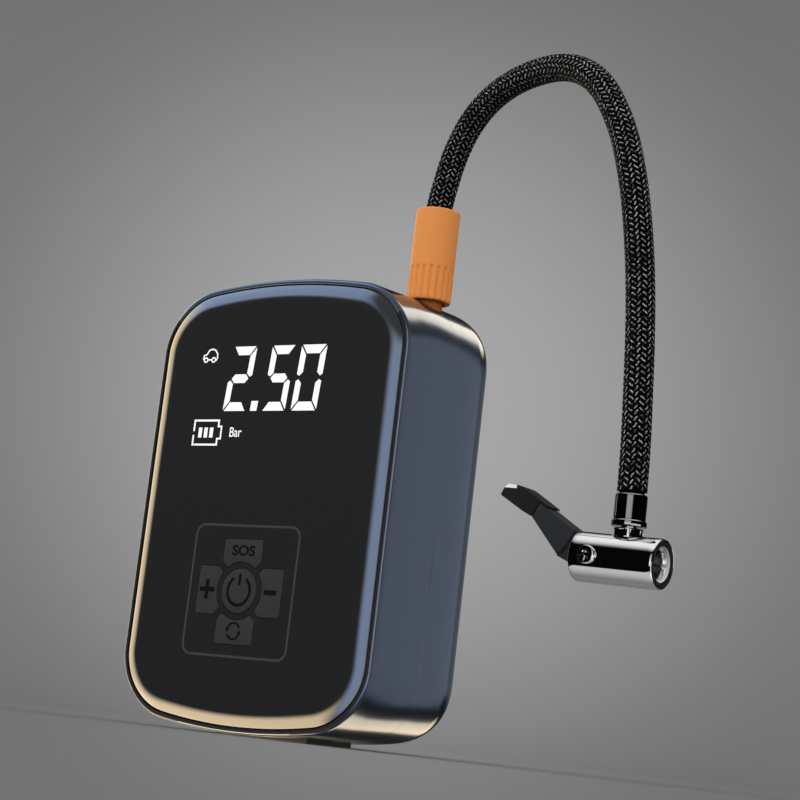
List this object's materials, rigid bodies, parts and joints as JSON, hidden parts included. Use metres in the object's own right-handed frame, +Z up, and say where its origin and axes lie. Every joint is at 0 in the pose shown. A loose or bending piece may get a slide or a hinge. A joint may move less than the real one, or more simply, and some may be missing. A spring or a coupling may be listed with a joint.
{
  "type": "portable tyre inflator",
  "caption": "Hand-held battery tyre inflator: rounded case with display and keys, internal crank pump, swivelling braided hose and lever-lock valve chuck.",
  "frame": {"origin": "centre of the underside of the foot pad, on the plane the inflator stands on", "axes": "+Z up along the case, -Y out of the display, +X to the right seen from the display side, towards the hose"},
  "size_m": [0.1886, 0.0587, 0.2076],
  "materials": {
    "case_shell": "satin metallic slate blue, moulded ABS",
    "display_lens": "polished black window with rolled edges",
    "key": "fine moulded texture",
    "black_plastic": "moulded",
    "circuit_board": "solder resist",
    "cell_wrap": "shrink wrap",
    "white_nylon": "moulded nylon",
    "steel": "drawn and turned",
    "brass": "turned",
    "cast_alloy": "die cast",
    "black_rubber": "moulded rubber",
    "silicone": "translucent silicone",
    "torch_glass": "clear polycarbonate",
    "orange_grip": "matte moulded",
    "braided_hose": "woven cover over rubber tube, pale tracer threads",
    "chuck_chrome": "polished chrome plate",
    "lever_black": "moulded nylon, semi-matt"
  },
  "bodies": {
    "case": {"air_tube": "silicone", "battery_cell_1": "cell_wrap", "battery_cell_2": "cell_wrap", "battery_cell_3": "cell_wrap", "battery_tray": "black_plastic", "case_screw_1": "steel", "case_screw_2": "steel", "case_screw_3": "steel", "case_screw_4": "steel", "crank_axle": "steel", "cylinder": "cast_alloy", "cylinder_head": "cast_alloy", "display_module": "black_plastic", "foot_pad": "black_rubber", "front_shell": "case_shell", "head_nipple": "brass", "key_switch_1": "black_plastic", "key_switch_2": "black_plastic", "key_switch_3": "black_plastic", "key_switch_4": "black_plastic", "key_switch_5": "black_plastic", "lens": "display_lens", "main_board": "circuit_board", "motor_can": "steel", "motor_end_bell": "black_plastic", "outlet_nipple": "black_plastic", "pressure_sensor": "black_plastic", "pump_frame": "cast_alloy", "rear_shell": "case_shell", "torch_led": "white_nylon", "torch_lens": "torch_glass", "usb_port": "steel", "valve_spring": "steel"},
    "sos_button": {"sos_key": "key"},
    "plus_button": {"plus_key": "key"},
    "minus_button": {"minus_key": "key"},
    "mode_button": {"mode_key": "key"},
    "power_button": {"power_key": "key"},
    "crank": {"crank_gear": "white_nylon", "crank_pin": "steel"},
    "motor_shaft": {"motor_rotor": "steel", "motor_pinion": "brass"},
    "piston": {"piston_rod": "cast_alloy", "piston_seal": "black_rubber"},
    "valve": {"delivery_valve": "black_rubber"},
    "coupling": {"hose_coupling": "orange_grip", "hose_section_1": "braided_hose"},
    "hose_2": {"hose_section_2": "braided_hose"},
    "hose_3": {"hose_section_3": "braided_hose"},
    "hose_4": {"hose_section_4": "braided_hose"},
    "hose_5": {"hose_section_5": "braided_hose"},
    "hose_end": {"hose_section_6": "braided_hose", "crimp_sleeve": "chuck_chrome"},
    "chuck": {"chuck_stem": "chuck_chrome", "chuck_body": "chuck_chrome", "chuck_seal": "black_rubber", "lever_pin": "chuck_chrome"},
    "lever": {"chuck_lever": "lever_black", "lever_cap": "lever_black"},
    "jaws": {"chuck_jaws": "chuck_chrome"}
  },
  "joints": [
    {"name": "sos_press", "type": "slide", "parent": "case", "child": "sos_button", "axis": [0, 1, 0], "range_m": [0, 0.0005], "stiffness_N_per_m": 60},
    {"name": "plus_press", "type": "slide", "parent": "case", "child": "plus_button", "axis": [0, 1, 0], "range_m": [0, 0.0005], "stiffness_N_per_m": 60},
    {"name": "minus_press", "type": "slide", "parent": "case", "child": "minus_button", "axis": [0, 1, 0], "range_m": [0, 0.0005], "stiffness_N_per_m": 60},
    {"name": "mode_press", "type": "slide", "parent": "case", "child": "mode_button", "axis": [0, 1, 0], "range_m": [0, 0.0005], "stiffness_N_per_m": 60},
    {"name": "power_press", "type": "slide", "parent": "case", "child": "power_button", "axis": [0, 1, 0], "range_m": [0, 0.0005], "stiffness_N_per_m": 60},
    {"name": "crank_spin", "type": "hinge", "parent": "case", "child": "crank", "pos_m": [-0.0025, 0.003, 0.0908], "axis": [0, 0, 1], "continuous": true},
    {"name": "motor_spin", "type": "hinge", "parent": "case", "child": "motor_shaft", "pos_m": [-0.0225, 0.003, 0.0908], "axis": [0, 0, 1], "continuous": true},
    {"name": "piston_stroke", "type": "slide", "parent": "case", "child": "piston", "axis": [1, 0, 0], "range_m": [0, 0.011]},
    {"name": "valve_lift", "type": "slide", "parent": "case", "child": "valve", "axis": [0, 0, 1], "range_m": [0, 0.0006], "deforming": ["valve_spring"]},
    {"name": "hose_swivel", "type": "hinge", "parent": "case", "child": "coupling", "pos_m": [0.036, 0, 0.1661], "axis": [0, 0, 1], "range_deg": [-75, 110]},
    {"name": "hose_bend_1", "type": "hinge", "parent": "coupling", "child": "hose_2", "pos_m": [0.03939, -0.00094, 0.17964], "axis": [-0.2672, -0.9636, 0], "range_deg": [-4, 32], "stiffness_Nm_per_rad": 0.6},
    {"name": "hose_bend_2", "type": "hinge", "parent": "hose_2", "child": "hose_3", "pos_m": [0.07177, -0.00992, 0.20346], "axis": [-0.2672, -0.9636, 0], "range_deg": [-4, 32], "stiffness_Nm_per_rad": 0.6},
    {"name": "hose_bend_3", "type": "hinge", "parent": "hose_3", "child": "hose_4", "pos_m": [0.10801, -0.01997, 0.18591], "axis": [-0.2672, -0.9636, 0], "range_deg": [-4, 32], "stiffness_Nm_per_rad": 0.6},
    {"name": "hose_bend_4", "type": "hinge", "parent": "hose_4", "child": "hose_5", "pos_m": [0.12243, -0.02397, 0.14483], "axis": [-0.2672, -0.9636, 0], "range_deg": [-4, 32], "stiffness_Nm_per_rad": 0.6},
    {"name": "hose_bend_5", "type": "hinge", "parent": "hose_5", "child": "hose_end", "pos_m": [0.12743, -0.02536, 0.10318], "axis": [-0.2672, -0.9636, 0], "range_deg": [-12, 30], "stiffness_Nm_per_rad": 0.6},
    {"name": "chuck_twist", "type": "hinge", "parent": "hose_end", "child": "chuck", "pos_m": [0.1288, -0.02574, 0.0653], "axis": [0, 0, 1], "range_deg": [-90, 90]},
    {"name": "lever_swing", "type": "hinge", "parent": "chuck", "child": "lever", "pos_m": [0.12081, -0.02607, 0.05759], "axis": [-0.0419, 0.9991, 0], "range_deg": [-32, 50]},
    {"name": "jaw_slide", "type": "slide", "parent": "chuck", "child": "jaws", "axis": [0.9979, 0.0418, -0.0488], "range_m": [-0.00055, 0.00087]}
  ],
  "couplings": [
    {"joint": "motor_spin", "follows": "crank_spin", "ratio": -4},
    {"joint": "lever_swing", "follows": "jaw_slide", "rad_per_m": 1000}
  ]
}
